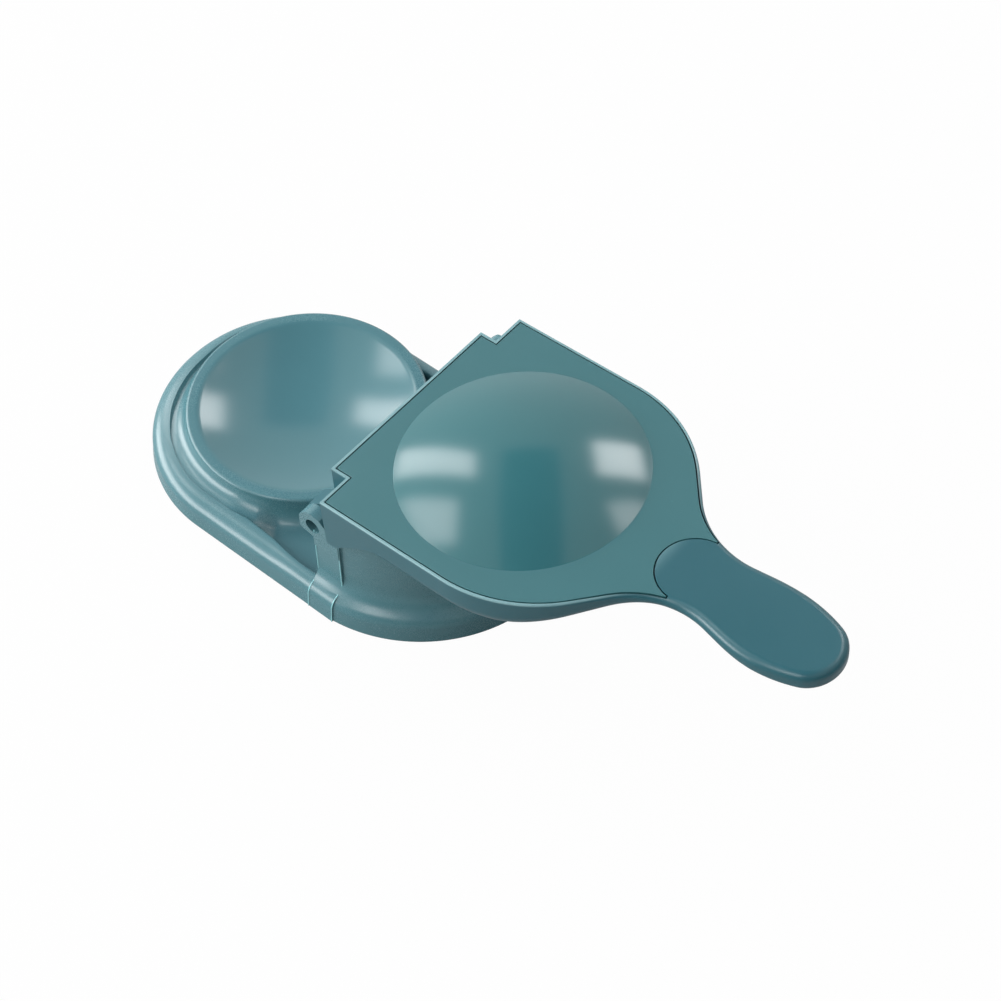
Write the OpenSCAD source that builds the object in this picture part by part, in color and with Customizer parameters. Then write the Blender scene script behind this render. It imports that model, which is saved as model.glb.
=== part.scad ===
// Empanada and wrapper press: a moulded stand with a dished pressing station, and a
// hinged lid whose domed plate swings over and down onto the dish.
// Millimetres. X runs from the dish towards the handle of the open lid, Y along the
// hinge, Z up. The origin is on the table, under the middle of the hinge axis.
// The lid is drawn lying open on the rest block, and is laid out in its own frame:
// u away from the hinge, v along the hinge, w from the hinge axis up to the plate.

/* [Pressing station] */
// Diameter of the dome on the press plate
dome_d = 90; // [76:1:92]
// Height of the dome over the plate
dome_rise = 9; // [7:0.1:11]
// Thickness of the wrapper left between dome and dish when the lid is shut
wrapper_t = 1.5; // [1:0.1:3]
// Distance from the hinge axis to the middle of the dish and of the dome
station_x = 53.5; // [51:0.5:58]
// Width of the flat ring round the dish
ring_w = 4.7; // [4:0.1:5.6]
// Gap between the ring and the press plate when the lid is shut
ring_gap = 3; // [2.6:0.1:3.8]
// Rounding of the outer edge of the ring
ring_round = 1.4; // [0.8:0.1:2]

/* [Stand] */
// Width of the stand at the table
stand_w = 119.6; // [114:0.2:128]
// Reach of the stand from the hinge axis past the dish
stand_left = 115; // [113:0.5:140]
// Reach of the stand from the hinge axis past the rest block
stand_right = 64.2; // [62:0.2:72]
// Height of the straight part of the skirt
skirt_h = 6.4; // [5:0.1:8]
// Inward lean of the skirt over its height
skirt_draft = 0.6; // [0.2:0.1:1.2]
// Radius of the rolled shoulder on top of the skirt
shoulder_r = 5.6; // [5:0.1:6.5]
// Height of the floor of the groove between the shoulder and the dish station
groove_z = 10.8; // [10:0.1:11.2]
// Height of the floor of the pockets in front of the rest block
pocket_z = 7.6; // [6:0.1:9]
// Reach of the pockets from the hinge axis towards the dish
pocket_reach = 31; // [24:0.5:36]
// Radius of the rest block under the open lid
block_r = 52.3; // [49:0.1:52.3]
// Rounding of the top edge of the rest block
block_round = 3; // [1.5:0.1:4]
// Radius of the hollow flank from the dish station's ring into the groove
cove_r = 6.4; // [5.5:0.1:6.6]
// Hollow curve at the foot of the rest block, down into the shoulder
block_fillet = 4; // [2:0.1:6]

/* [Hinge] */
// Height of the hinge axis over the table
axis_z = 41.4; // [39.5:0.1:50]
// Distance between the outer faces of the two hinge ears
ears_w = 106.4; // [106:0.1:107]
// Thickness of each hinge ear
ear_t = 5; // [4.5:0.1:6]
// Outer radius of the ears and of the lid's knuckles
barrel_r = 6.8; // [6:0.1:8.2]
// Diameter of the hinge pins
pin_d = 6.2; // [4.5:0.1:7.5]
// Radial clearance of a pin in its ear
pin_clear = 0.05; // [0.02:0.01:0.1]
// Depth of the pin's end inside the outer face of the ear
pin_recess = 2.6; // [1:0.1:2.8]
// Width of each hinge post, along the stand
post_w = 11.6; // [10:0.1:13]
// Distance from the hinge axis to the middle of the posts
post_x = 5.8; // [5.4:0.1:6.4]
// Distance between the outer faces of the posts
posts_face_w = 105.4; // [105:0.1:106]
// How far the post seams stand proud of the skirt
seam_proud = 0.3; // [0.2:0.05:0.5]

/* [Lid] */
// Width of the lid across its sides
lid_w = 108.6; // [108.2:0.1:110]
// Height of the press plate's face over the hinge axis
plate_h = 20.1; // [19:0.1:21.5]
// Depth of the lid shell from the plate's face to its back
lid_depth = 15; // [12.5:0.5:16]
// Rounding of the back edge of the lid shell
back_round = 7; // [5:0.5:7.5]
// Rise of the open lid towards its handle, in degrees
open_tilt = 3.5; // [2:0.1:5]
// Distance from the hinge axis to the shell's edge between the ears
tab_u = 0.5; // [0.3:0.1:1]
// Gap between the ears and the shell's edge beside them
side_gap = 0.8; // [0.5:0.1:1.4]
// Width of the part of the lid that reaches in between the knuckles
tab_w = 81.2; // [79:0.1:81.6]
// Distance from the hinge axis to the end of the straight sides
side_end_u = 62.5; // [60:0.5:65]
// Radius of the lid's rounded corners
corner_r = 54; // [48:0.5:54]
// How far each corner turns from the side towards the handle, in degrees
corner_turn = 49; // [44:1:54]
// Radius of the hollow curve from the lid into the handle's neck
neck_r = 36; // [28:1:40]
// Wall of the shell beside the plate
rim_t = 1.15; // [0.9:0.05:1.3]
// Joint gap between the plate and the shell
plate_gap = 0.35; // [0.2:0.05:0.5]
// Thickness of the press plate
plate_t = 3; // [2.5:0.1:3.5]
// Diameter of the press plate's pegs
peg_d = 5; // [4:0.1:5.4]
// Thickness of the cheeks beside the ears
cheek_t = 1.5; // [1.2:0.1:1.6]
// How far the cheeks beside the ears reach below the hinge axis
cheek_drop = 2; // [1.5:0.1:2.6]
// Distance from the hinge axis to the end of the cheeks
cheek_u = 38; // [32:1:44]

/* [Handle] */
// Distance from the hinge axis to the tip of the handle
handle_tip = 188; // [182:0.1:228]
// Width of the neck
neck_w = 27.2; // [24:0.1:27.4]
// Greatest width of the handle
handle_w = 29.2; // [28:0.1:35]
// Distance from the handle's tip back to its widest part
handle_end = 29.2; // [24:0.1:36]
// Radius of the handle's tip
tip_r = 12; // [11:0.1:13]
// Thickness of the handle
handle_t = 10; // [7.5:0.1:10]
// Rounding of the handle's face edge
handle_round = 2.6; // [1:0.1:3]
// Rounding of the handle's back edge
handle_back_round = 3; // [2:0.1:3.6]
// Radius of the handle's round root, set into the plate
root_r = 13.55; // [12.8:0.05:13.6]
// Distance from the hinge axis to the middle of the round root
root_u = 127.3; // [126:0.1:128]

/* [Walls and ribs] */
// Wall of the stand
stand_wall = 2.8; // [2.2:0.1:3.2]
// Wall of the lid shell
shell_wall = 2.4; // [2:0.1:2.8]
// Thickness of the ribs
rib_t = 2; // [1.4:0.1:2.4]
// Number of radial ribs under the dish
dish_ribs = 12; // [8:2:16]
// Clearance between parts that pass each other at the hinge
swing_clear = 0.5; // [0.3:0.1:0.6]

/* [Hidden] */
$fn = 96;
eps = 0.01;

// Dome and dish are parts of two concentric spheres when the lid is shut.
dome_r = dome_d / 2;
dome_sphere_r = (dome_r * dome_r + dome_rise * dome_rise) / (2 * dome_rise);
dome_centre_w = plate_h + dome_rise - dome_sphere_r;
dish_sphere_r = dome_sphere_r + wrapper_t;
dish_centre_z = axis_z - dome_centre_w;
ring_z = axis_z - plate_h - ring_gap;
dish_r = sqrt(pow(dish_sphere_r, 2) - pow(dish_centre_z - ring_z, 2));
drum_r = dish_r + ring_w;

// Stand
half_w = stand_w / 2;
arc_left = -(stand_left - half_w);
arc_right = stand_right - half_w;
crest_z = skirt_h + shoulder_r;
crest_r = half_w - skirt_draft - shoulder_r;
// Top and foot of the slope from the shoulder's crest into the groove
crest_edge = crest_r - 0.6;
groove_edge = crest_r - 1.1;
// The station's hollow flank starts just outside the ring's rounding.
cove_start = drum_r + 0.1;
pocket_foot = drum_r + 2;
pocket_round = 1.5;
colour_stand = [0.36, 0.58, 0.60];
colour_lid = [0.26, 0.47, 0.51];
colour_plate = [0.31, 0.53, 0.55];
colour_pin = [0.62, 0.64, 0.66];

// Hinge
ear_out = ears_w / 2;
ear_in = ear_out - ear_t;
knuckle_gap = 0.3;
// The slanted underside of the ear's overhang: its depth under the axis, and its angle
ear_cut = 4.95;
ear_slant = 23;
knuckle_out = ear_in - knuckle_gap;
post_face = posts_face_w / 2;
side_u = barrel_r + side_gap;
trough_r = barrel_r + swing_clear;
trough_x = side_u + swing_clear;
post_top = axis_z - cheek_drop - swing_clear;
pin_out = ear_out - pin_recess;
pin_in = tab_w / 2 + 0.4;
pin_tip = 0.4;

// The open lid's back just clears the edge of the block's deck, which carries it.
lid_back_w = plate_h - lid_depth;
rest_gap = 0.1;
deck_z = axis_z + (lid_back_w + trough_x * sin(open_tilt)) / cos(open_tilt) - rest_gap;

// Lid outline: straight side, corner arc, diagonal, concave neck arc, handle.
lid_half = lid_w / 2;
corner_v = lid_half - corner_r;
neck_half = neck_w / 2;
handle_half = handle_w / 2;
// Direction square to the straight stretch after the corner, and its distance
slant = 90 - corner_turn;
slant_d = side_end_u * cos(slant) + corner_v * sin(slant) + corner_r;
// Place of the narrowest part of the neck
neck_u = (slant_d + neck_r - (neck_half + neck_r) * sin(slant)) / cos(slant);
handle_wide_u = handle_tip - handle_end;
// Slope at which the handle widens from the neck, in degrees
flare = 1.5 * atan((handle_half - neck_half) / (handle_wide_u - neck_u));
tip_u = handle_tip - tip_r;
wide_gain = handle_half - tip_r;
// Radius of the flat arc along the widest part, inside which the tip arc nests
wide_r = (pow(tip_u - handle_wide_u, 2) / wide_gain + handle_half + tip_r) / 2;
tip_angle = asin((tip_u - handle_wide_u) / (wide_r - tip_r));
// The widening line from the neck arc meets the flat arc with a bend of its own.
bend_r = (handle_wide_u - neck_u - neck_r * sin(flare)
          - (handle_half - neck_half - neck_r * (1 - cos(flare))) / tan(flare))
         / (sin(flare) - (1 - cos(flare)) / tan(flare));

plate_inset = rim_t + plate_gap;
// The plate's two horns beside the handle's root end this far short of its middle.
horn_cut = 1.7;
ledge_w = plate_h - plate_t;
tray_w = lid_back_w + shell_wall;
// From here on the lid thins towards the handle.
thin_u = side_end_u + 20;
peg_boss_r = peg_d / 2 + 2;
peg_top = ledge_w - 3;
peg_floor = lid_back_w + 2;
peg_end_gap = 0.5;

// ---------------------------------------------------------------- lid outline
// A point of an arc, with the outward normal of the outline: [u, v, nu, nv]
function arc_pt(c, r, a, side) = [c[0] + r * cos(a), c[1] + r * sin(a),
                                  side * cos(a), side * sin(a)];
function arc(c, r, a0, a1, n, side = 1) =
    [for (i = [0:n]) arc_pt(c, r, a0 + (a1 - a0) * i / n, side)];

// One side of the lid from the hinge end to the tip, v > 0
side_path = concat(
    [[-barrel_r * 2, lid_half, 0, 1]],
    [[side_end_u * 0.5, lid_half, 0, 1]],
    arc([side_end_u, corner_v], corner_r, 90, slant, 12),
    arc([neck_u, neck_half + neck_r], neck_r, 180 + slant, 270 + flare, 12, -1),
    arc([handle_wide_u, handle_half - bend_r], bend_r, 90 + flare, 90, 3),
    arc([handle_wide_u, handle_half - wide_r], wide_r, 90 - tip_angle / 3, 90 - tip_angle, 2),
    arc([tip_u, 0], tip_r, 90 - tip_angle - 8, 0, 8));
side_n = len(side_path);

function inset_pt(p, i) = [p[0] - i * p[2], p[1] - i * p[3]];
function smooth(x) = x <= 0 ? 0 : x >= 1 ? 1 : x * x * (3 - 2 * x);
// 0 on the body of the lid, 1 on the handle
function handle_share(u) = smooth((u - thin_u) / (neck_u - thin_u));
function mix(a, b, t) = a + (b - a) * t;

// Rings of the lid's skin, from the face edge round to the back: [inset, w] of one point
face_steps = 2;
back_steps = 5;
function face_r(u) = mix(0.5, handle_round, handle_share(u));
function back_r(u) = mix(back_round, handle_back_round, handle_share(u));
function depth(u) = mix(lid_depth, handle_t, handle_share(u));
function face_ring(u, a) = [face_r(u) * (1 - sin(a)), plate_h - face_r(u) * (1 - cos(a))];
function back_ring(u, a) = [back_r(u) * (1 - cos(a)),
                            plate_h - depth(u) + back_r(u) * (1 - sin(a))];
function skin_pt(p, k) =
    let (s = k <= face_steps ? face_ring(p[0], 90 * k / face_steps)
                             : back_ring(p[0], 90 * (k - face_steps - 1) / back_steps),
         q = inset_pt(p, s[0]))
    [q[0], q[1], s[1]];
skin_rings = face_steps + back_steps + 2;
function mirrored(p) = [p[0], -p[1], p[2]];
// A ring runs out along +v to the tip and back along -v.
function skin_ring(k) =
    let (right = [for (p = side_path) skin_pt(p, k)])
    concat(right, [for (i = [side_n - 2:-1:0]) mirrored(right[i])]);
ring_n = 2 * side_n - 1;

module lid_skin() {
    points = [for (k = [0:skin_rings - 1]) each skin_ring(k)];
    last = (skin_rings - 1) * ring_n;
    walls = [for (k = [0:skin_rings - 2]) for (i = [0:ring_n - 1])
        let (j = (i + 1) % ring_n, a = k * ring_n)
        each [[a + j, a + i, a + ring_n + i], [a + j, a + ring_n + i, a + ring_n + j]]];
    // The face and the back are closed by strips across the lid.
    strips = [for (i = [0:side_n - 2]) [i, i + 1, ring_n - 2 - i, ring_n - 1 - i]];
    face = [for (s = strips) if (s[1] != s[2]) each [[s[0], s[2], s[3]], [s[0], s[1], s[2]]]
                             else [s[0], s[1], s[3]]];
    back = [for (f = face) [last + f[2], last + f[1], last + f[0]]];
    polyhedron(points, concat(face, walls, back));
}

// Outline of the lid drawn in by i, as a flat shape
module lid_plan(i) {
    right = [for (p = side_path) inset_pt(p, i)];
    polygon(concat(right, [for (k = [side_n - 2:-1:0]) [right[k][0], -right[k][1]]]));
}

// The lid stops short of the hinge: a tab in the middle, set back beside the ears.
module hinge_side(i) {
    translate([tab_u + i, -tab_w / 2 + i])
        square([side_u + 1, tab_w - 2 * i]);
    translate([side_u + i, -lid_half - 1])
        square([handle_tip, lid_w + 2]);
}

module plate_plan(i) {
    difference() {
        intersection() {
            lid_plan(i);
            hinge_side(i);
            translate([-1, -lid_half]) square([root_u - horn_cut + i - plate_inset + 1, lid_w]);
        }
        translate([root_u, 0]) circle(root_r + plate_gap + i - plate_inset);
    }
}

// Places what is drawn in the lid's frame on the hinge of the stand, lid lying open.
module on_hinge() {
    translate([0, 0, axis_z])
        rotate([0, -open_tilt, 0])
            children();
}

// ---------------------------------------------------------------- stand
// Skirt, rolled shoulder and the slope into the groove, as a half section
module skirt_section(out) {
    union() {
        polygon([[0, 0], [half_w + out, 0], [half_w + out - skirt_draft, skirt_h],
                 [crest_r + out, skirt_h], [crest_r + out, crest_z], [crest_edge, crest_z],
                 [groove_edge, groove_z], [0, groove_z]]);
        intersection() {
            translate([crest_r + out, skirt_h]) circle(shoulder_r);
            translate([crest_r + out - eps, skirt_h - eps]) square(shoulder_r + 1);
        }
    }
}

// The same line drawn in by the wall, open below
module skirt_hollow_section() {
    union() {
        polygon([[0, -1], [half_w - stand_wall, -1], [half_w - stand_wall - skirt_draft, skirt_h],
                 [crest_r, skirt_h], [crest_r, groove_z - stand_wall],
                 [0, groove_z - stand_wall]]);
        intersection() {
            translate([crest_r, skirt_h]) circle(shoulder_r - stand_wall);
            translate([crest_r - eps, skirt_h - eps]) square(shoulder_r);
        }
    }
}

// Carries a half section round both ends of the stand and along its sides.
module round_stand(left, right) {
    translate([left, 0, 0]) rotate([0, 0, 90]) rotate_extrude(angle = 180) children();
    translate([right, 0, 0]) rotate([0, 0, -90]) rotate_extrude(angle = 180) children();
    translate([left, 0, 0]) rotate([90, 0, 90]) linear_extrude(right - left) {
        children();
        mirror([1, 0]) children();
    }
}

// The station: a disc with a rounded ring, and a hollow flank that runs out in the groove
module drum_section() {
    difference() {
        union() {
            polygon([[0, 0], [cove_start + cove_r, 0], [cove_start + cove_r, groove_z + cove_r],
                     [drum_r, groove_z + cove_r], [drum_r, ring_z - ring_round],
                     [drum_r - ring_round, ring_z], [0, ring_z]]);
            intersection() {
                translate([drum_r - ring_round, ring_z - ring_round]) circle(ring_round);
                translate([drum_r - ring_round, ring_z - ring_round]) square(ring_round);
            }
        }
        translate([cove_start + cove_r, groove_z + cove_r]) circle(cove_r);
        translate([0, dish_centre_z]) circle(dish_sphere_r, $fn = 360);
    }
}

module dish_station() {
    translate([-station_x, 0, 0])
        rotate_extrude() intersection() {
            drum_section();
            square([drum_r + 20, ring_z + 1]);
        }
}

// Plan of the pockets between the station, the shoulder and the rest block, grown by g
module pocket_plan(g) {
    offset(r = pocket_round + g)
        offset(delta = -pocket_round)
            difference() {
                translate([-pocket_reach, -groove_edge])
                    square([pocket_reach + tab_u + 0.1, 2 * groove_edge]);
                translate([-station_x, 0]) circle(pocket_foot);
            }
}

module block_section(inset, top, round) {
    union() {
        square([block_r - inset, top - round]);
        square([block_r - inset - round, top]);
        translate([block_r - inset - round, top - round]) circle(round);
    }
}

// The hollow curve from the block's wall into the shoulder, which it touches at block_touch
block_bend = [block_r + block_fillet,
              skirt_h + sqrt(pow(shoulder_r + block_fillet, 2)
                             - pow(block_r + block_fillet - crest_r, 2))];
block_touch = [crest_r, skirt_h]
              + (block_bend - [crest_r, skirt_h]) * shoulder_r / (shoulder_r + block_fillet);

module block_foot_section() {
    difference() {
        polygon([[block_r - 1, skirt_h], [block_r - 1, block_bend[1]], block_bend, block_touch,
                 [crest_r, skirt_h]]);
        translate(block_bend) circle(block_fillet);
    }
}

// The rest block: a half round with a straight stretch towards the hinge
module half_round(x_min) {
    translate([arc_right, 0, 0]) rotate([0, 0, -90]) rotate_extrude(angle = 180) children();
    translate([x_min, 0, 0]) rotate([90, 0, 90]) linear_extrude(arc_right - x_min) {
        children();
        mirror([1, 0]) children();
    }
}

module rest_block() {
    difference() {
        half_round(tab_u + 0.1) {
            block_section(0, deck_z, block_round);
            block_foot_section();
        }
        // Trough in which the knuckles turn, open towards the dish
        translate([0, -half_w, axis_z]) rotate([-90, 0, 0]) cylinder(r = trough_r, h = stand_w);
        translate([-10, -half_w, axis_z]) cube([10 + trough_r, stand_w, 20]);
        translate([-10, -half_w, axis_z + lid_back_w - 2]) cube([10 + trough_x, stand_w, 20]);
    }
}

// One post, its seam running down over the skirt, at the side s of -1 or 1
module post(s) {
    translate([post_x - post_w / 2, 0, 0])
        rotate([90, 0, 90])
            linear_extrude(post_w)
                mirror([s < 0 ? 1 : 0, 0]) {
                    intersection() {
                        skirt_section(seam_proud);
                        translate([ear_in - 2, 0]) square([20, crest_z + 5]);
                    }
                    translate([ear_in, 0]) square([post_face - ear_in, post_top]);
                }
}

// Ear outline in the plane of X and Z, round the hinge axis
module ear_plan() {
    left = post_x - post_w / 2;
    difference() {
        union() {
            translate([0, axis_z]) circle(barrel_r);
            polygon([[left, post_top - 8], [left + post_w, post_top - 8],
                     [left + post_w, post_top], [barrel_r - 0.4, post_top],
                     [barrel_r - 0.2, axis_z], [0, axis_z]]);
        }
        // The underside of the overhang is cut to a slant, as the mould leaves it.
        translate([0, axis_z - ear_cut]) rotate(-ear_slant)
            translate([-20, -20]) square([20, 20]);
    }
}

module ear(s) {
    translate([0, s > 0 ? ear_out : -ear_in, 0])
        rotate([90, 0, 0])
            linear_extrude(ear_t) ear_plan();
}

// Everything under the skin of the stand, open below
module stand_hollow() {
    round_stand(arc_left, arc_right) skirt_hollow_section();
    translate([-station_x, 0, 0]) rotate_extrude() intersection() {
        difference() {
            translate([0, -1]) square([drum_r - stand_wall, ring_z - stand_wall + 1]);
            translate([0, dish_centre_z]) circle(dish_sphere_r + stand_wall, $fn = 360);
        }
        translate([0, -1]) square([drum_r, ring_z + 1]);
    }
    difference() {
        half_round(tab_u + 0.1 + stand_wall)
            translate([0, -1]) block_section(stand_wall, deck_z - stand_wall + 1, 1);
        translate([0, -half_w, axis_z]) rotate([-90, 0, 0])
            cylinder(r = trough_r + stand_wall, h = stand_w);
        translate([-10, -half_w, axis_z]) cube([10 + trough_x + stand_wall, stand_w, 20]);
    }
}

module ribs_under_dish() {
    intersection() {
        spokes_and_rings();
        translate([-stand_left, -half_w, 0]) cube([stand_left + tab_u + 1, stand_w, axis_z]);
    }
}

module spokes_and_rings() {
    translate([-station_x, 0, 0]) {
        for (k = [0:dish_ribs - 1])
            rotate([0, 0, k * 360 / dish_ribs])
                translate([0, -rib_t / 2, 0]) cube([stand_left, rib_t, ring_z - 1]);
        for (r = [15, 30, 45])
            difference() {
                cylinder(r = r + rib_t / 2, h = ring_z - 1);
                translate([0, 0, -1]) cylinder(r = r - rib_t / 2, h = ring_z + 1);
            }
    }
}

module ribs_under_block() {
    for (y = [-25, 0, 25])
        translate([-6, y - rib_t / 2, 0]) cube([stand_right, rib_t, deck_z - 1]);
    translate([29 - rib_t / 2, -half_w + 1, 0]) cube([rib_t, stand_w - 2, deck_z - 1]);
    // The wall of the block towards the dish goes on down to the table.
    translate([tab_u + 0.1, -half_w + 1, 0]) cube([stand_wall, stand_w - 2, deck_z - 1]);
}

module stand() {
    color(colour_stand)
        difference() {
            union() {
                difference() {
                    union() {
                        round_stand(arc_left, arc_right) skirt_section(0);
                        dish_station();
                    }
                    translate([0, 0, pocket_z]) linear_extrude(ring_z) pocket_plan(0);
                }
                rest_block();
                for (s = [-1, 1]) {
                    post(s);
                    ear(s);
                }
            }
            difference() {
                stand_hollow();
                translate([0, 0, pocket_z - stand_wall]) linear_extrude(ring_z) difference() {
                    pocket_plan(stand_wall);
                    translate([-station_x, 0]) circle(pocket_foot - stand_wall);
                }
                ribs_under_dish();
                ribs_under_block();
            }
            // Bores of the two ears
            for (s = [-1, 1])
                translate([0, s * (ear_in - 1), axis_z])
                    rotate([-s * 90, 0, 0])
                        cylinder(d = pin_d + 2 * pin_clear, h = ear_t + 2);
        }
}

// ---------------------------------------------------------------- lid
// Cheek beside an ear: it reaches below the axis and sweeps up along the shell.
cheek_foot = side_u + 4.5;
cheek_rise = cheek_drop + lid_back_w + 4;
cheek_curve = [for (t = [0:0.125:1]) [mix(cheek_foot, cheek_u, t),
                                      cheek_rise * (1 - (1 - t) * (1 - t)) - cheek_drop]];

module cheek(s) {
    inner = lid_half - cheek_t;
    translate([0, s > 0 ? lid_half : -inner, 0])
        rotate([90, 0, 0])
            linear_extrude(lid_half - inner)
                polygon(concat([[side_u, -cheek_drop]], cheek_curve,
                               [[cheek_u, ledge_w], [side_u, ledge_w]]));
}

module knuckle_plan() {
    circle(barrel_r);
    polygon([[-barrel_r + 1.2, 3.4], [side_u + 1, plate_h - 7], [side_u + 1, lid_back_w + 1],
             [barrel_r, lid_back_w - 1], [barrel_r, 0], [0, 0]]);
}

module knuckle(s) {
    inner = tab_w / 2 - 1;
    translate([0, s > 0 ? knuckle_out : -inner, 0])
        rotate([90, 0, 0])
            linear_extrude(knuckle_out - inner) knuckle_plan();
}

// Places of the pegs that hold the plate in the shell
peg_spots = [for (s = [-1, 1]) each [[16, s * 32], [side_end_u - 4.5, s * (lid_half - 6.9)],
                                     [93, s * 22]]];

module tray_ribs() {
    rib_w = lid_back_w + 1;
    rib_h = ledge_w - rib_w - 0.2;
    for (v = [-36, -12, 12, 36])
        translate([tab_u + 1, v - rib_t / 2, rib_w]) cube([root_u, rib_t, rib_h]);
    for (u = [28, 54, 80, 106])
        translate([u - rib_t / 2, -lid_half + 2, rib_w]) cube([rib_t, lid_w - 4, rib_h]);
    for (p = peg_spots)
        translate([p[0], p[1], rib_w]) cylinder(r = peg_boss_r, h = peg_top - rib_w);
}

// Where the lid thins, the floor of the tray rises with its back.
module above_tray_floor() {
    translate([0, lid_half, 0])
        rotate([90, 0, 0])
            linear_extrude(lid_w)
                polygon([[-1, tray_w], [thin_u, tray_w], [thin_u + 100, tray_w + 16],
                         [thin_u + 100, 3 * plate_h], [-1, 3 * plate_h]]);
}

// Room in the shell for the plate and under it
module tray() {
    translate([0, 0, ledge_w])
        linear_extrude(plate_t + 1) plate_plan(rim_t);
    difference() {
        intersection() {
            union() {
                translate([0, 0, lid_back_w + 6])
                    linear_extrude(ledge_w - lid_back_w - 6 + eps) plate_plan(shell_wall + 0.4);
                translate([0, 0, tray_w])
                    linear_extrude(ledge_w - tray_w + eps) plate_plan(back_round - 2);
            }
            above_tray_floor();
        }
        tray_ribs();
    }
    for (p = peg_spots)
        translate([p[0], p[1], peg_floor]) cylinder(d = peg_d, h = peg_top - peg_floor + 1);
}

module lid_shell() {
    color(colour_lid)
        on_hinge()
            difference() {
                union() {
                    difference() {
                        lid_skin();
                        translate([0, 0, -plate_h])
                            linear_extrude(3 * plate_h)
                                difference() {
                                    translate([-30, -lid_half - 1]) square([60, lid_w + 2]);
                                    hinge_side(0);
                                }
                    }
                    for (s = [-1, 1]) {
                        cheek(s);
                        knuckle(s);
                    }
                }
                tray();
                for (s = [-1, 1])
                    translate([0, s * pin_in, 0])
                        rotate([-s * 90, 0, 0]) cylinder(d = pin_d, h = knuckle_out - pin_in + 1);
            }
}

module press_plate() {
    color(colour_plate)
        on_hinge() {
            difference() {
                union() {
                    translate([0, 0, ledge_w]) linear_extrude(plate_t) plate_plan(plate_inset);
                    intersection() {
                        translate([station_x, 0, dome_centre_w]) sphere(dome_sphere_r, $fn = 360);
                        translate([station_x, 0, ledge_w])
                            cylinder(r = dome_r, h = dome_rise + plate_t + 1);
                    }
                    for (p = peg_spots)
                        translate([p[0], p[1], peg_floor + peg_end_gap])
                            cylinder(d = peg_d, h = ledge_w - peg_floor);
                }
                // The dome is a shell, hollow from behind.
                intersection() {
                    translate([station_x, 0, dome_centre_w])
                        sphere(dome_sphere_r - plate_t, $fn = 360);
                    translate([station_x, 0, ledge_w - 1])
                        cylinder(r = dome_r - plate_t, h = dome_rise + plate_t);
                }
            }
        }
}

// ---------------------------------------------------------------- hinge pins
module hinge_pin(s) {
    color(colour_pin)
        translate([0, s * pin_in, axis_z])
            rotate([-s * 90, 0, 0])
                rotate_extrude()
                    polygon([[0, 0], [pin_d / 2, 0], [pin_d / 2, pin_out - pin_in - pin_tip],
                             [pin_d / 2 - pin_tip, pin_out - pin_in], [0, pin_out - pin_in]]);
}

module hinge_pin_front() {
    hinge_pin(-1);
}

module hinge_pin_rear() {
    hinge_pin(1);
}

stand();
lid_shell();
press_plate();
hinge_pin_front();
hinge_pin_rear();
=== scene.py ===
"""Looks of an empanada press: a moulded stand with a dished station, and a hinged, domed lid."""

import logging
import math
from dataclasses import dataclass
from enum import Enum
from typing import Any, Callable, Sequence

import bmesh
import bpy
import numpy as np
from mathutils import Matrix

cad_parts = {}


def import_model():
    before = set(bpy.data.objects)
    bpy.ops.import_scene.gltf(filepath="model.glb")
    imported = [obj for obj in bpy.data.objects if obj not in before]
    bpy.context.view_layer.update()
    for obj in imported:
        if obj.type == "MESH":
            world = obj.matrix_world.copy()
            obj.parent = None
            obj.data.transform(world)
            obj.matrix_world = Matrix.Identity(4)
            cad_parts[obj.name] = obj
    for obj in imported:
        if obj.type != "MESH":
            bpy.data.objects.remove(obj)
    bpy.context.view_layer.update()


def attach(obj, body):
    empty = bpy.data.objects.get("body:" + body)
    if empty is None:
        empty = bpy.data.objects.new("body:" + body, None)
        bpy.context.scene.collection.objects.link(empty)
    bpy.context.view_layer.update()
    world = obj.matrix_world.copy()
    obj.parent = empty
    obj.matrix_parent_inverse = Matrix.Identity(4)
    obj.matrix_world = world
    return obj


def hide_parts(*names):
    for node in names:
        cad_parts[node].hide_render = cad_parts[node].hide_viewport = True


Array = np.ndarray
Place = Callable[[Array], Array]

MM = 0.001
LOG = logging.getLogger("empanada_press")

# Shared places of the press, in millimetres, in the frame of the CAD model.
AXIS_Z = 41.4
OPEN_TILT = math.radians(3.5)
STATION_X = 53.5
PLATE_H = 20.1
DOME_R = 45.0
DOME_RISE = 9.0
DOME_SPHERE_R = (DOME_R**2 + DOME_RISE**2) / (2 * DOME_RISE)
DOME_CENTRE_W = PLATE_H + DOME_RISE - DOME_SPHERE_R
DISH_SPHERE_R = DOME_SPHERE_R + 1.5
DISH_CENTRE_Z = AXIS_Z - DOME_CENTRE_W
BARREL_R = 6.8
# Lighter colour painted along the lid's rim edge as a highlight, where the rounded edge catches the
# light.
RIM_HIGHLIGHT_COLOUR = (0.150, 0.270, 0.285)


class Operation(Enum):
    """How one solid works on another."""

    JOIN = "UNION"
    CUT = "DIFFERENCE"
    KEEP = "INTERSECT"


class Side(Enum):
    """The two sides of the press, across the hinge."""

    FRONT = -1
    REAR = 1


# ---------------------------------------------------------------- curves and blends
def smooth_step(low: float, high: float, x: Array) -> Array:
    """Rises from 0 to 1 between low and high along 3t^2 - 2t^3.

    Args:
        low: Value at which the rise starts.
        high: Value at which it ends.
        x: Values to map.

    Returns:
        The share of each value.
    """
    t = np.clip((np.asarray(x, float) - low) / (high - low), 0, 1)
    return t * t * (3 - 2 * t)


def blend(a: Any, b: Any, share: Any) -> Any:
    """Returns a where share is 0, b where it is 1, and their mix between."""
    return a + (b - a) * share


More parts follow.
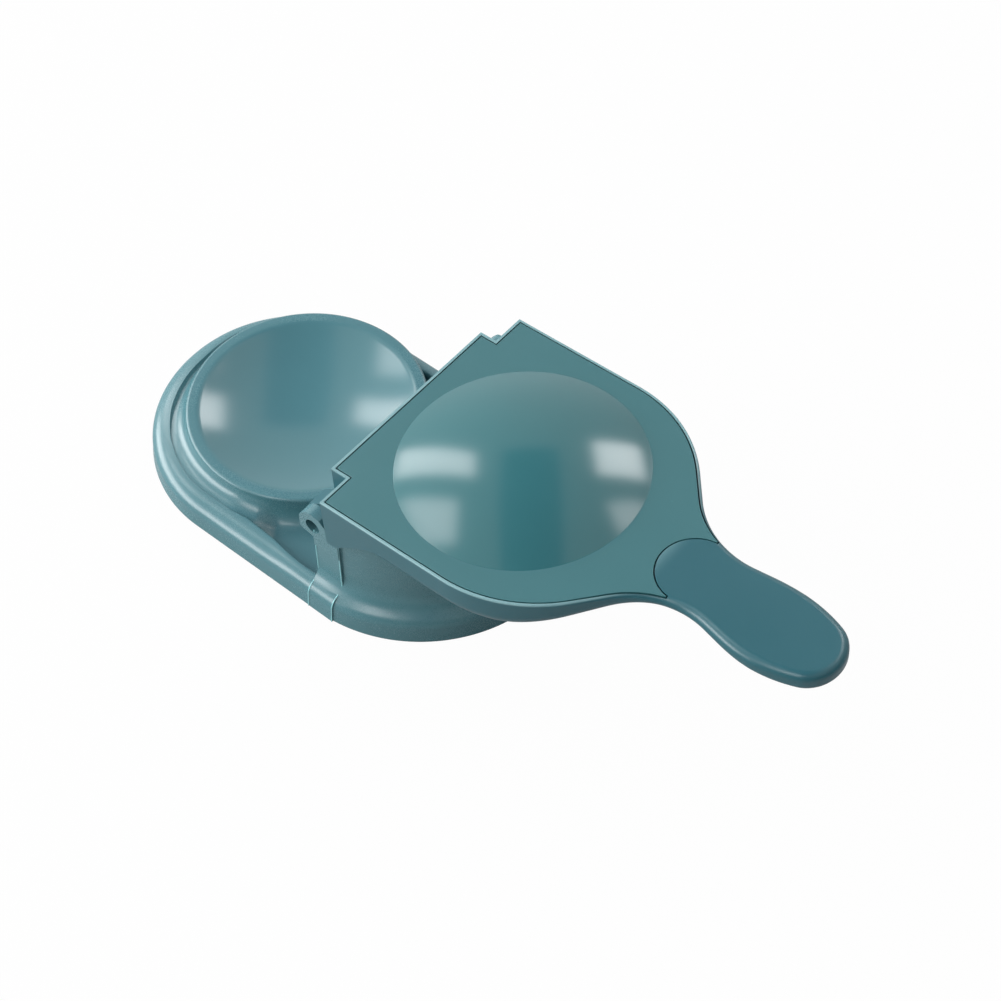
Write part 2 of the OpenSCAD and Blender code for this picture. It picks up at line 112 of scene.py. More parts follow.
def arc(centre: Sequence[float], radius: float, start: float, end: float, count: int) -> Array:
    """Points on an arc: centre plus radius times cosine and sine of evenly spaced angles.

    Args:
        centre: Middle of the arc.
        radius: Its radius.
        start: First angle, in degrees.
        end: Last angle, in degrees.
        count: Number of points.

    Returns:
        An array of points with two columns.
    """
    a = np.radians(np.linspace(start, end, count))
    return np.column_stack([centre[0] + radius * np.cos(a), centre[1] + radius * np.sin(a)])


def line(a: Sequence[float], b: Sequence[float], count: int) -> Array:
    """Evenly spaced points from a to b, both among them."""
    return np.linspace(np.asarray(a, float), np.asarray(b, float), count)


def quadratic(a: Any, b: Any, c: Any, count: int) -> list[Any]:
    """Points of the curve (1-t)^2 a + 2t(1-t) b + t^2 c, whose corners may be arrays.

    Args:
        a: Start.
        b: Corner that the curve leans towards.
        c: End.
        count: Number of points.

    Returns:
        The points, one entry each.
    """
    return [(1 - t) ** 2 * a + 2 * t * (1 - t) * b + t * t * c for t in np.linspace(0, 1, count)]


def in_lid(points: Array) -> Array:
    """Turns lid places (u, v, w) into places of the open press.

    u runs away from the hinge, v along it and w up from it: x = u cos - w sin, y = v,
    z = axis + u sin + w cos of the angle at which the lid lies open.

    Args:
        points: Lid places, one row each.

    Returns:
        The same places in the frame of the press.
    """
    u, v, w = points.T
    c, s = math.cos(OPEN_TILT), math.sin(OPEN_TILT)
    return np.column_stack([u * c - w * s, v, AXIS_Z + u * s + w * c])


def as_is(points: Array) -> Array:
    """Leaves places where they are."""
    return points


def across(points: Array) -> Array:
    """Turns an outline drawn in x and z, raised along y, into place."""
    return points[:, [0, 2, 1]]


def across_lid(points: Array) -> Array:
    """Turns an outline drawn in u and w, raised along v, into place on the lid."""
    return in_lid(across(points))


def rectangle(x0: float, y0: float, x1: float, y1: float) -> Array:
    """The outline of a rectangle between two opposite corners."""
    return np.array([[x0, y0], [x1, y0], [x1, y1], [x0, y1]], float)


def bands(index: Array, closed: bool = True) -> Array:
    """Quads from each row of vertex numbers to the next, right round each row if closed."""
    if closed:
        index = np.column_stack([index, index[:, 0]])
    return np.stack([index[:-1, :-1], index[:-1, 1:], index[1:, 1:], index[1:, :-1]],
                    axis=-1).reshape(-1, 4)


# ---------------------------------------------------------------- solids
class Solid:
    """A closed mesh that is built, cut and joined in millimetres."""

    def __init__(self, name: str, points: Array, faces: list[Sequence[int]]) -> None:
        """Makes the object, closes its poles and turns its faces outwards.

        Args:
            name: Name of the object.
            points: Vertex places in millimetres.
            faces: Vertex numbers of each face.
        """
        mesh = bpy.data.meshes.new(name)
        mesh.from_pydata((points * MM).tolist(), [], faces)
        self.obj = bpy.data.objects.new(name, mesh)
        bpy.context.scene.collection.objects.link(self.obj)
        self.weld(1e-7)

    @classmethod
    def loft(cls, name: str, rings: Array, place: Place = as_is) -> "Solid":
        """Joins closed rings of points into a skin; open ends get one flat face.

        Args:
            name: Name of the object.
            rings: Array of rings by points by three.
            place: Moves the finished points.

        Returns:
            The solid.
        """
        rows, cols = rings.shape[:2]
        index = np.arange(rows * cols).reshape(rows, cols)
        faces = bands(index).tolist()
        for row in (0, -1):
            if np.ptp(rings[row], axis=0).max() > 1e-6:
                faces.append(index[row].tolist())
        return cls(name, place(rings.reshape(-1, 3)), faces)

    @classmethod
    def prism(cls, name: str, outline: Array, low: float, high: float,
              place: Place = as_is) -> "Solid":
        """Raises a flat outline from one height to another.

        Args:
            name: Name of the object.
            outline: Points of the outline, two columns.
            low: Lower height.
            high: Upper height.
            place: Moves the finished points.

        Returns:
            The solid.
        """
        rings = np.stack([np.column_stack([outline, np.full(len(outline), h)])
                          for h in (low, high)])
        return cls.loft(name, rings, place)

    @classmethod
    def turned(cls, name: str, profile: Array, steps: int, place: Place = as_is) -> "Solid":
        """Turns a profile of (radius, height) once round the upright axis.

        Args:
            name: Name of the object.
            profile: Points of the profile, two columns.
            steps: Number of steps round the axis.
            place: Moves the finished points.

        Returns:
            The solid.
        """
        a = np.linspace(0, 2 * np.pi, steps, endpoint=False)
        ring = np.stack([np.cos(a), np.sin(a)], axis=-1)
        rings = np.concatenate([profile[:, None, :1] * ring[None],
                                np.repeat(profile[:, None, 1:], steps, axis=1)], axis=-1)
        return cls.loft(name, rings, place)

    def weld(self, distance: float) -> None:
        """Merges doubles closer than distance and turns all faces outwards."""
        bm = bmesh.new()
        bm.from_mesh(self.obj.data)
        bmesh.ops.remove_doubles(bm, verts=bm.verts, dist=distance)
        bmesh.ops.dissolve_degenerate(bm, edges=bm.edges, dist=distance)
        bmesh.ops.recalc_face_normals(bm, faces=bm.faces)
        bm.to_mesh(self.obj.data)
        bm.free()

    def apply(self) -> None:
        """Turns the modifiers' result into the mesh itself."""
        graph = bpy.context.evaluated_depsgraph_get()
        graph.update()
        mesh = bpy.data.meshes.new_from_object(self.obj.evaluated_get(graph))
        self.obj.modifiers.clear()
        self.obj.data = mesh

    def work(self, tool: "Solid", how: Operation) -> "Solid":
        """Joins, cuts or crops this solid with a tool, which is used up.

        Args:
            tool: The other solid.
            how: The operation.

        Returns:
            This solid.
        """
        step = self.obj.modifiers.new("work", "BOOLEAN")
        step.object = tool.obj
        step.operation = how.value
        step.solver = "MANIFOLD"
        before = len(self.obj.data.polygons)
        self.apply()
        LOG.debug("%s %s %s: %d -> %d faces", self.obj.name, how.value, tool.obj.name, before,
                  len(self.obj.data.polygons))
        bpy.data.objects.remove(tool.obj)
        return self

    def round_edges(self, width: float, limit: float, segments: int = 3) -> "Solid":
        """Rounds every edge sharper than the limit.

        Args:
            width: Width of the rounding in millimetres.
            limit: Angle in degrees above which an edge is rounded.
            segments: Number of steps over the rounding.

        Returns:
            This solid.
        """
        self.weld(2e-6)
        bevel = self.obj.modifiers.new("round", "BEVEL")
        bevel.width = width * MM
        bevel.segments = segments
        bevel.limit_method = "ANGLE"
        bevel.angle_limit = math.radians(limit)
        bevel.use_clamp_overlap = True
        bevel.miter_outer = "MITER_ARC"
        self.apply()
        return self

    def settle(self) -> None:
        """Splits faces of many corners into well shaped triangles and drops collapsed ones."""
        bm = bmesh.new()
        bm.from_mesh(self.obj.data)
        bmesh.ops.remove_doubles(bm, verts=bm.verts, dist=2e-6)
        many = [face for face in bm.faces if len(face.verts) > 4]
        bmesh.ops.triangulate(bm, faces=many, ngon_method="BEAUTY")
        bmesh.ops.dissolve_degenerate(bm, edges=bm.edges, dist=2e-6)
        bm.to_mesh(self.obj.data)
        bm.free()

    def shade(self, crease: float = 28) -> "Solid":
        """Shades the skin smoothly, with creases where it bends by more than an angle."""
        self.settle()
        mesh = self.obj.data
        mesh.shade_smooth()
        mesh.set_sharp_from_angle(angle=math.radians(crease))
        weighted = self.obj.modifiers.new("weighted", "WEIGHTED_NORMAL")
        weighted.keep_sharp = True
        weighted.weight = 80
        return self


# ---------------------------------------------------------------- shader graphs
class Wire:
    """A shader value: arithmetic on it adds Math nodes."""

    def __init__(self, graph: "Graph", socket: Any) -> None:
        """Keeps the graph and the socket that gives the value."""
        self.graph = graph
        self.socket = socket

    def _math(self, operation: str, a: Any, b: Any) -> "Wire":
        """Adds one Math node."""
        return self.graph.add("ShaderNodeMath", {"operation": operation}, {0: a, 1: b})

    def __add__(self, other: Any) -> "Wire":
        """Sum."""
        return self._math("ADD", self, other)

    def __radd__(self, other: Any) -> "Wire":
        """Sum with the plain number first."""
        return self._math("ADD", other, self)

    def __sub__(self, other: Any) -> "Wire":
        """Difference."""
        return self._math("SUBTRACT", self, other)

    def __rsub__(self, other: Any) -> "Wire":
        """Difference from a plain number."""
        return self._math("SUBTRACT", other, self)

    def __mul__(self, other: Any) -> "Wire":
        """Product."""
        return self._math("MULTIPLY", self, other)

    def __rmul__(self, other: Any) -> "Wire":
        """Product with the plain number first."""
        return self._math("MULTIPLY", other, self)

    def __truediv__(self, other: Any) -> "Wire":
        """Quotient."""
        return self._math("DIVIDE", self, other)

    def __gt__(self, other: Any) -> "Wire":
        """1 where the value is above the other, else 0."""
        return self._math("GREATER_THAN", self, other)

    def rise(self, low: float, high: float) -> "Wire":
        """Rises smoothly from 0 at low to 1 at high."""
        return self.graph.add(
            "ShaderNodeMapRange", {"interpolation_type": "SMOOTHSTEP"},
            {"Value": self, "From Min": low, "From Max": high})


class Graph:
    """The node tree of one material or of the world."""

    def __init__(self, owner: Any) -> None:
        """Clears the owner's nodes.

        Args:
            owner: A material or a world.
        """
        owner.use_nodes = True
        self.tree = owner.node_tree
        self.tree.nodes.clear()

    def add(self, kind: str, settings: dict[str, Any] | None = None,
            inputs: dict[Any, Any] | None = None, output: Any = 0) -> Wire | None:
        """Adds a node, sets it up and feeds its sockets.

        Args:
            kind: The node's type.
            settings: Its properties, set first.
            inputs: Values or wires by socket name or number.
            output: Name or number of the output to return.

        Returns:
            The wire of that output, or nothing for an output node.
        """
        node = self.tree.nodes.new(kind)
        for key, value in (settings or {}).items():
            setattr(node, key, value)
        for key, value in (inputs or {}).items():
            if isinstance(value, Wire):
                self.tree.links.new(value.socket, node.inputs[key])
            else:
                node.inputs[key].default_value = value
        return Wire(self, node.outputs[output]) if node.outputs else None

    def tint(self, share: Any, low: Any, high: Sequence[float]) -> Wire:
        """Mixes two colours by a share; the first may be a wire."""
        first = low if isinstance(low, Wire) else (*low, 1)
        return self.add("ShaderNodeMix", {"data_type": "RGBA"},
                        {0: share, 6: first, 7: (*high, 1)}, output=2)

    def noise(self, place: Wire, scale: float, detail: float, roughness: float = 0.5) -> Wire:
        """Adds a noise over a place."""
        return self.add("ShaderNodeTexNoise", {}, {
            "Vector": place, "Scale": scale, "Detail": detail, "Roughness": roughness})


# ---------------------------------------------------------------- finishes
@dataclass(frozen=True)
class PolishedSpot:
    """A round part of a moulding that comes from a polished face of the mould."""

    centre: tuple[float, float, float]
    radius: float
    roughness: float
    reach: float


@dataclass(frozen=True)
class MouldedPlastic:
    """Coloured plastic as it leaves the mould: satin, faintly uneven, with a few specks."""

    name: str
    colour: tuple[float, float, float]
    roughness: float = 0.36
    uneven: float = 0.05
    grain: float = 0.05
    grain_scale: float = 2600.0
    specks: float = 0.5
    polished: PolishedSpot | None = None
    # Strength of the painted highlight, a lighter tint along the lid's rim edge.
    rim_highlight_strength: float = 0.0

    def shade(self, share: float) -> tuple[float, float, float]:
        """The colour made lighter or darker by a share."""
        return tuple(min(1.0, c * share) for c in self.colour)

    @staticmethod
    def rim_highlight_share(g: Graph, place: Wire) -> Wire:
        """Share of painted highlight on the lid's rim: near the face's height, but not on the
        handle.
        """
        x = g.add("ShaderNodeSeparateXYZ", {}, {0: place}, output="X")
        z = g.add("ShaderNodeSeparateXYZ", {}, {0: place}, output="Z")
        tilt_c, tilt_s = math.cos(OPEN_TILT), math.sin(OPEN_TILT)
        height = (z - AXIS_Z * MM) * tilt_c - x * tilt_s
        reach = (z - AXIS_Z * MM) * tilt_s + x * tilt_c
        return height.rise(0.0192, 0.01985) * (1 - reach.rise(0.108, 0.120))

    def material(self) -> bpy.types.Material:
        """Builds the finish from three noises: clouds in the colour, satin grain and specks.

        Returns:
            The material.
        """
        made = bpy.data.materials.new(self.name)
        g = Graph(made)
        place = g.add("ShaderNodeTexCoord", output="Object")
        clouds = g.noise(place, 34.0, 4.0, 0.55)
        wide = g.noise(place, 9.0, 2.0)
        grain = g.noise(place, self.grain_scale, 3.0, 0.6)
        ripple = g.noise(place, 60.0, 1.0, 0.4)
        cells = g.add("ShaderNodeTexVoronoi", {"feature": "F1"}, {
            "Vector": place, "Scale": 150.0, "Randomness": 1.0}, output="Distance")
        lucky = g.noise(place, 70.0, 0.0)
        speck = (1 - cells.rise(0.03, 0.07)) * lucky.rise(0.66, 0.70) * self.specks
        share = (clouds - 0.5) * 0.9 + (wide - 0.5) * 0.8 + 0.5
        colour = g.tint(share, self.shade(1 - self.uneven), self.shade(1 + self.uneven))
        colour = g.tint(speck * 0.35, colour, self.shade(2.1))
        # Painted highlight: the lid's rim edge is tinted lighter.
        if self.rim_highlight_strength:
            colour = g.tint(self.rim_highlight_share(g, place) * self.rim_highlight_strength, colour, RIM_HIGHLIGHT_COLOUR)
        rough = (clouds - 0.5) * 0.08 + (grain - 0.5) * 0.06 + self.roughness + speck * 0.1
        depth = 1.0
        if self.polished:
            spot = self.polished
            offset = g.add("ShaderNodeVectorMath", {"operation": "SUBTRACT"},
                           {0: place, 1: tuple(c * MM for c in spot.centre)})
            away = g.add("ShaderNodeVectorMath", {"operation": "LENGTH"}, {0: offset},
                         output="Value")
            outside = away.rise((spot.radius - spot.reach) * MM, (spot.radius + spot.reach) * MM)
            smooth = (clouds - 0.5) * 0.03 + (grain - 0.5) * 0.02 + spot.roughness
            rough = rough * outside + smooth * (1 - outside)
            depth = outside * 0.85 + 0.15
        bump = g.add("ShaderNodeBump", {}, {
            "Strength": 0.35, "Distance": 0.00012,
            "Height": grain * self.grain * depth * 6 + speck * 0.5 + ripple * 0.22}, output=0)
        shader = g.add("ShaderNodeBsdfPrincipled", {}, {
            "Base Color": colour, "Roughness": rough, "Normal": bump, "IOR": 1.49}, output=0)
        g.add("ShaderNodeOutputMaterial", {}, {0: shader})
        return made


def dress(solid: Solid, finish: MouldedPlastic, body: str,
          node: str = "") -> bpy.types.Object:
    """Gives a solid its finish and its place in the model.

    Args:
        solid: The solid.
        finish: Its finish.
        body: Body that it rides on.
        node: Node that it replaces, if any.

    Returns:
        The solid's object.
    """
    made = bpy.data.materials.get(finish.name) or finish.material()
    solid.obj.data.materials.clear()
    solid.obj.data.materials.append(made)
    if node:
        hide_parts(node)
    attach(solid.obj, body)
    return solid.obj


STAND_PLASTIC = MouldedPlastic(
    "stand_teal", (0.048, 0.130, 0.148), roughness=0.27,
    polished=PolishedSpot((-STATION_X, 0, 14.0), 41.7, 0.16, 0.5))
# The seam beads are thin ridges along the posts' edges; their far lighter colour is a painted
# highlight.
SEAM_HIGHLIGHT_PLASTIC = MouldedPlastic("seam_painted_highlight", (0.200, 0.430, 0.450), roughness=0.30)
# The lid carries a painted highlight, a lighter tint along its rim edge.
LID_PLASTIC = MouldedPlastic("lid_teal", (0.0100, 0.070, 0.087), roughness=0.33, rim_highlight_strength=0.8)
PLATE_PLASTIC = MouldedPlastic(
    "plate_teal", (0.022, 0.096, 0.106), roughness=0.36,
    polished=PolishedSpot(tuple(in_lid(np.array([[STATION_X, 0, PLATE_H]]))[0]), 45.0, 0.15, 0.4))
# The pins are real parts, but their near black colour is painted shade for the recess of each bore.
PIN_SHADE_PLASTIC = MouldedPlastic("pin_painted_shade", (0.010, 0.030, 0.038), roughness=0.45)


# ---------------------------------------------------------------- stand
@dataclass
class Stand:
    """The lower moulding: skirt and shoulder, dish station, rest block, posts and ears."""

    round_x: float = -56.6
    lean: float = 4.5
    arc_right: float = 4.4
    crest_w: float = 53.6
    shoulder_r: float = 5.6
    skirt_h: float = 6.4
    ring_z: float = 18.3
    dish_r: float = 41.5
    drum_r: float = 46.3
    lip_r: float = 1.2
    cove_r: float = 6.4
    groove_z: float = 10.8
    pocket_z: float = 7.6
    wall: float = 2.8
    block_r: float = 52.3
    block_x: float = 0.6
    block_bend: float = 10.0
    shoulder_gain: float = 2.2
    block_round: float = 3.0
    trough_r: float = BARREL_R + 0.5
    trough_x: float = 8.1
    trough_brow: float = AXIS_Z + 3.1
    deck_z: float = 46.9
    post_face: float = 52.7
    post_inner: float = 47.9
    post_w: float = 11.6
    post_top: float = 38.9
    ear_inner: float = 48.2
    ear_outer: float = 53.2
    bore_r: float = 3.15
    post_bend: float = 2.2
    bead: float = 0.24
    columns: int = 400
    skirt_edge: tuple[tuple[float, float], ...] = (
        (59.4, 4.0), (59.65, 1.6), (59.76, 0.6), (59.68, 0.18), (59.4, 0.0), (57.2, 0.0),
        (57.0, 0.2), (56.7, 3.0), (56.4, 6.0))

    def plan(self, w: float) -> Array:
        """The line that runs at w round the skirt's spine, seen from above.

        A straight side in front, a round end of radius w less `lean`, and a rear side that runs
        twice the lean further in behind the dish and swings out again beside the block.

        Args:
            w: Distance of the line from the spine.

        Returns:
            Points of the line, two columns, from the front of the block round the dish.
        """
        far = w - 2 * self.lean
        end = (self.round_x, -self.lean)
        front = line((40.0, -w), (self.round_x, -w), 500)
        turn = arc(end, w - self.lean, 270, 90, 1200)
        x = np.linspace(self.round_x, 40.0, 700)
        rear = np.column_stack([x, blend(far, w, smooth_step(-21.0, -3.0, x))])
        close = line((w - 20.0, w), (w - 20.0, -w), 400)
        return np.concatenate([front, turn, rear, close])

    def reach(self, w: float, angle: Array) -> Array:
        """Distance from the dish's middle to the plan's line at w, in each direction."""
        x, y = (self.plan(w) + [STATION_X, 0]).T
        turn = np.arctan2(y, x)
        order = np.argsort(turn)
        return np.interp(angle, turn[order], np.hypot(x, y)[order], period=2 * np.pi)

    def room(self, angle: Array) -> Array:
        """Width left for the hollow flank between the ring and the skirt's crest."""
        free = self.reach(self.crest_w - 1.5, angle) - self.drum_r - 0.1
        return np.clip(free, 0.05, self.cove_r)

    def gain(self, angle: Array) -> Array:
        """How much broader the shoulder is away from the posts, where there is room for it."""
        away = smooth_step(49.5, 62, np.degrees(np.abs(angle)))
        return self.shoulder_gain * away * smooth_step(2.5, 5.5, self.room(angle))

    @staticmethod
    def pocket(angle: Array, start: float, end: float) -> Array:
        """1 over the pockets in front of the block, 0 from the end angle on, in degrees."""
        return 1 - smooth_step(start, end, np.degrees(np.abs(angle)))

    def floor_z(self, angle: Array, pocket: Array) -> Array:
        """Height of the floor beside the station: it rises where the skirt comes close."""
        crest = self.skirt_h + self.shoulder_r
        groove = blend(crest - 0.02, self.groove_z, smooth_step(0.2, 3.5, self.room(angle)))
        groove = blend(groove, crest - 0.12, self.near(angle))
        return blend(groove, self.pocket_z, pocket)

    @staticmethod
    def near(angle: Array) -> Array:
        """1 along the station's front, where the groove fades into a level shelf."""
        turn = -np.degrees(angle)
        return smooth_step(68, 84, turn) * (1 - smooth_step(118, 156, turn))

    def station_rows(self, angle: Array) -> list[tuple[Any, Any]]:
        """Rows of the station's skin from its middle to the foot of its flank.

        The dish is part of a sphere, z = centre - sqrt(R^2 - r^2); a soft edge, the flat ring,
        its round lip and the hollow flank follow.

        Args:
            angle: Directions of the columns.

        Returns:
            A radius and a height for each row.
        """
        rows: list[tuple[Any, Any]] = []
        soft = 1.3
        for r in np.linspace(0, self.dish_r - soft, 27):
            rows.append((r, DISH_CENTRE_Z - math.sqrt(DISH_SPHERE_R**2 - r * r)))
        start = np.array(rows.pop())
        rows += [tuple(p) for p in quadratic(
            start, np.array([self.dish_r, self.ring_z]),
            np.array([self.dish_r + soft, self.ring_z]), 7)]
        lip = arc((self.drum_r - self.lip_r, self.ring_z - self.lip_r), self.lip_r, 90, 0, 8)
        rows += [tuple(p) for p in lip]
        # The hollow flank is a quarter of an ellipse, deeper over the pockets.
        width = self.room(angle)
        low = self.floor_z(angle, self.pocket(angle, 60, 71))
        brow = self.groove_z + self.cove_r
        for a in np.radians(np.linspace(4.5, 90, 12)):
            rows.append((self.drum_r + width * (1 - math.cos(a)),
                         brow - (brow - low) * math.sin(a)))
        rows += [(self.drum_r + width + 0.01 * k, low) for k in range(1, 4)]
        return rows

    def crest_rows(self, angle: Array) -> list[tuple[Any, Any]]:
        """Rows from the groove's or pocket's floor up over the crest.

        Args:
            angle: Directions of the columns.

        Returns:
            A radius and a height for each row.
        """
        low = self.floor_z(angle, self.pocket(angle, 60, 71))
        crest_z = self.skirt_h + self.shoulder_r
        start = self.drum_r + self.room(angle) + 0.04
        floor_end = np.maximum(self.reach(self.crest_w - 1.5, angle), start + 0.02)
        foot = np.maximum(self.reach(self.crest_w - 1.1, angle), start + 0.05)
        brow = np.maximum(self.reach(self.crest_w - 0.7, angle), start + 0.1)
        top = np.maximum(self.reach(self.crest_w + 0.2, angle), start + 0.2)
        gain = self.gain(angle)
        floor_end, foot, brow, top = (np.maximum(edge - gain, start + 0.02 + 0.03 * k)
                                      for k, edge in enumerate((floor_end, foot, brow, top)))
        rows = list(zip(quadratic(floor_end, foot, foot, 4),
                        quadratic(low, low, blend(low, crest_z, 0.4), 4)))
        rows += list(zip(quadratic(foot, brow, top, 8),
                         quadratic(blend(low, crest_z, 0.5), crest_z + 0.05, crest_z, 8)))
        return rows

    def soften_groove(self, radii: Array, heights: Array, angle: Array) -> tuple[Array, Array]:
        """Lets the groove fade into one smooth hollow round the station's left end.

        The rows from the flank to the crest are pulled onto the curve between their ends whose
        middle leans towards the floor.

        Args:
            radii: Radii of those rows.
            heights: Heights of those rows.
            angle: Directions of the columns.

        Returns:
            The softened radii and heights.
        """
        turn = -np.degrees(angle)
        near = self.near(angle)
        beyond = 1 - smooth_step(-116, -72, turn) + smooth_step(110, 150, turn)
        share = 0.7 * np.clip(beyond, 0, 1) * (1 - near)
        count = len(radii)
        corner_r = blend(radii[0], radii[-1], 0.38)
        corner_z = np.full_like(corner_r, self.groove_z - 0.75)
        soft_r = np.array(quadratic(radii[0], corner_r, radii[-1], count))
        soft_z = np.array(quadratic(heights[0], corner_z, heights[-1], count))
        return blend(radii, soft_r, share), blend(heights, soft_z, share)

    def skirt_rows(self, angle: Array) -> list[tuple[Any, Any]]:
        """Rows over the shoulder, down the skirt, under its edge and up inside it.

        Args:
            angle: Directions of the columns.

        Returns:
            A radius and a height for each row.
        """
        rows = []
        gain = self.gain(angle)
        for a in np.radians(np.linspace(84, 0, 14)):
            line_r = self.reach(self.crest_w + self.shoulder_r * math.cos(a), angle)
            rows.append((line_r - gain * (1 - math.cos(a)),
                         self.skirt_h + self.shoulder_r * math.sin(a)))
        return rows + [(self.reach(w, angle), z) for w, z in self.skirt_edge + ((55.6, 7.6),)]

    def underside_rows(self, angle: Array) -> list[tuple[Any, Any]]:
        """Rows of the hollow underside, from the skirt's inside to the back of the dish.

        Args:
            angle: Directions of the columns.

        Returns:
            A radius and a height for each row.
        """
        ceiling = self.floor_z(angle, self.pocket(angle, 66, 74)) - self.wall
        inner = self.drum_r - self.wall
        back = DISH_SPHERE_R + self.wall
        rows = [(np.maximum(self.reach(54.4, angle), inner + 1.4), ceiling),
                (np.maximum(self.reach(52.0, angle), inner + 1.0), ceiling),
                (inner + 0.6, ceiling), (inner, ceiling + 0.6), (inner, 14.6)]
        for r in np.linspace(inner - 0.6, 0, 12):
            rows.append((r, DISH_CENTRE_Z - math.sqrt(back * back - r * r)))
        return rows

    def body(self) -> Solid:
        """Builds the left end with the station: a polar skin round the dish's middle."""
        angle = np.linspace(0, 2 * np.pi, self.columns, endpoint=False)
        angle = (angle + np.pi) % (2 * np.pi) - np.pi
        station = self.station_rows(angle)
        groups = [station, self.crest_rows(angle), self.skirt_rows(angle),
                  self.underside_rows(angle)]
        ones = np.ones(len(angle))
        radii = [np.array([r * ones for r, _ in group]) for group in groups]
        heights = [np.array([z * ones for _, z in group]) for group in groups]
        steady = len(station) - 8
        joint_r = np.concatenate([radii[0][steady:], radii[1]])
        joint_z = np.concatenate([heights[0][steady:], heights[1]])
        joint_r, joint_z = self.soften_groove(joint_r, joint_z, angle)
        # Where the skirt comes close to the ring, its inner rows stand just off the ring's wall.
        outside = np.concatenate([joint_r, radii[2][:17]])
        lift = 0.004 * np.arange(len(outside))[:, None]
        outside = np.maximum.accumulate(outside - lift, axis=0) + lift
        joint_r, radii[2][:17] = outside[:len(joint_r)], outside[len(joint_r):]
        r = np.concatenate([radii[0][:steady], joint_r, radii[2], radii[3]])
        z = np.concatenate([heights[0][:steady], joint_z, heights[2], heights[3]])
        rings = np.stack([r * np.cos(angle) - STATION_X, r * np.sin(angle), z], axis=-1)
        body = Solid.loft("stand", rings)
        limit = Solid.prism("limit", rectangle(-150, -80, 0.02, 80), -5, 60)
        return body.work(limit, Operation.KEEP)

    def wall_line(self, face: float, top: float, steps: int, bend_r: float,
                  proud: float = 0.0) -> Array:
        """Line down an upright wall, through a hollow arc at its foot, and over the shoulder.

        The hollow touches the wall and the shoulder: its middle lies bend_r in front of the
        wall, and the sum of both radii away from the shoulder's middle.

        Args:
            face: Distance of the wall from the spine.
            top: Height at which the line starts.
            steps: Number of points down the wall.
            bend_r: Radius of the hollow.
            proud: How far the shoulder stands out from the common one.

        Returns:
            The line's points, distance and height.
        """
        crest = np.array([self.crest_w + proud, self.skirt_h])
        bend = np.array([face + bend_r, 0.0])
        rise = (self.shoulder_r + bend_r) ** 2 - (bend[0] - crest[0]) ** 2
        bend[1] = self.skirt_h + math.sqrt(rise)
        touch = math.degrees(math.atan2(bend[1] - crest[1], bend[0] - crest[0]))
        return np.concatenate([
            line((face, top), (face, bend[1] + 0.5), steps),
            arc(bend, bend_r, 180, 180 + touch, 9),
            arc(crest, self.shoulder_r, touch - 5, 0, 12)])

    def foot_profile(self) -> Array:
        """Profile of the block's end, from its deck over wall, foot and skirt to the ceiling."""
        top = self.deck_z - self.block_round
        inner = self.block_r - self.wall
        ceiling = self.deck_z - self.wall
        return np.concatenate([
            line((0, self.deck_z), (self.block_r - self.block_round - 0.5, self.deck_z), 8),
            arc((self.block_r - self.block_round, top), self.block_round, 90, 0, 9),
            self.wall_line(self.block_r, top - 2, 8, self.block_bend),
            self.skirt_edge,
            [[55.0, 8.4], [inner + 0.6, 9.4], [inner, 10.4]],
            line((inner, 12), (inner, ceiling - 1), 4),
            line((inner - 1, ceiling), (0, ceiling), 4),
        ])

    def block(self) -> Solid:
        """Builds the rest block with its end of the skirt: the foot profile carried round it."""
        profile = self.foot_profile()
        turn = np.radians(np.linspace(-90, 90, 97))
        straight = np.linspace(0, self.arc_right, 3)[:-1]
        middle = np.concatenate([straight, np.full(97, self.arc_right), straight[::-1]])
        angle = np.concatenate([np.full(2, -np.pi / 2), turn, np.full(2, np.pi / 2)])
        w, z = profile[:, 0, None], profile[:, 1, None]
        points = np.stack([middle + w * np.cos(angle), w * np.sin(angle) + 0 * middle,
                           z + 0 * middle], axis=-1)
        rows, cols = points.shape[:2]
        index = np.arange(rows * cols).reshape(rows, cols)
        end = index[:, 0].tolist() + index[:, -1][::-1].tolist()
        block = Solid("block", points.reshape(-1, 3), bands(index, closed=False).tolist() + [end])
        # The wall towards the dish goes on down to the table; a lining closes the trough.
        half = np.array([[57.6, 0.3], [57.4, 5.0], [55.6, 8.6], [51.0, 10.5],
                         [51.0, self.deck_z - 0.8]])
        section = np.concatenate([half, half[::-1] * [-1, 1]])
        block.work(Solid.prism("front_wall", section, 0.0, self.block_x + self.wall,
                               self.outwards), Operation.JOIN)
        lining = np.concatenate([
            arc((0, AXIS_Z), self.trough_r + self.wall, -90, 0, 17),
            [[self.trough_x + self.wall, AXIS_Z], [self.trough_x + self.wall, self.deck_z - 1.2],
             [0, self.deck_z - 1.2]]])
        block.work(Solid.prism("lining", lining, -50.6, 50.6, across), Operation.JOIN)
        gap = rectangle(-3, -self.post_inner, self.block_x, self.post_inner)
        block.work(Solid.prism("gap", gap, self.pocket_z, 60), Operation.CUT)
        trough = np.concatenate([
            arc((0, AXIS_Z), self.trough_r, -180, 0, 33),
            [[self.trough_r, self.trough_brow], [self.trough_x, self.trough_brow],
             [self.trough_x, 60], [-8, 60]]])
        block.work(Solid.prism("trough", trough, -70, 70, across), Operation.CUT)
        return block

    @staticmethod
    def outwards(points: Array) -> Array:
        """Turns an outline drawn in y and z, raised along x, into place."""
        return points[:, [2, 0, 1]]

    def post_line(self) -> Array:
        """Outer line of a post, (y, z): its face, a tight hollow, the shoulder and the skirt."""
        proud = 0.02
        return np.concatenate([
            self.wall_line(self.post_face, self.post_top, 12, self.post_bend, proud),
            [[59.4 + proud, 4.0], [59.76 + proud, 0.15]]])

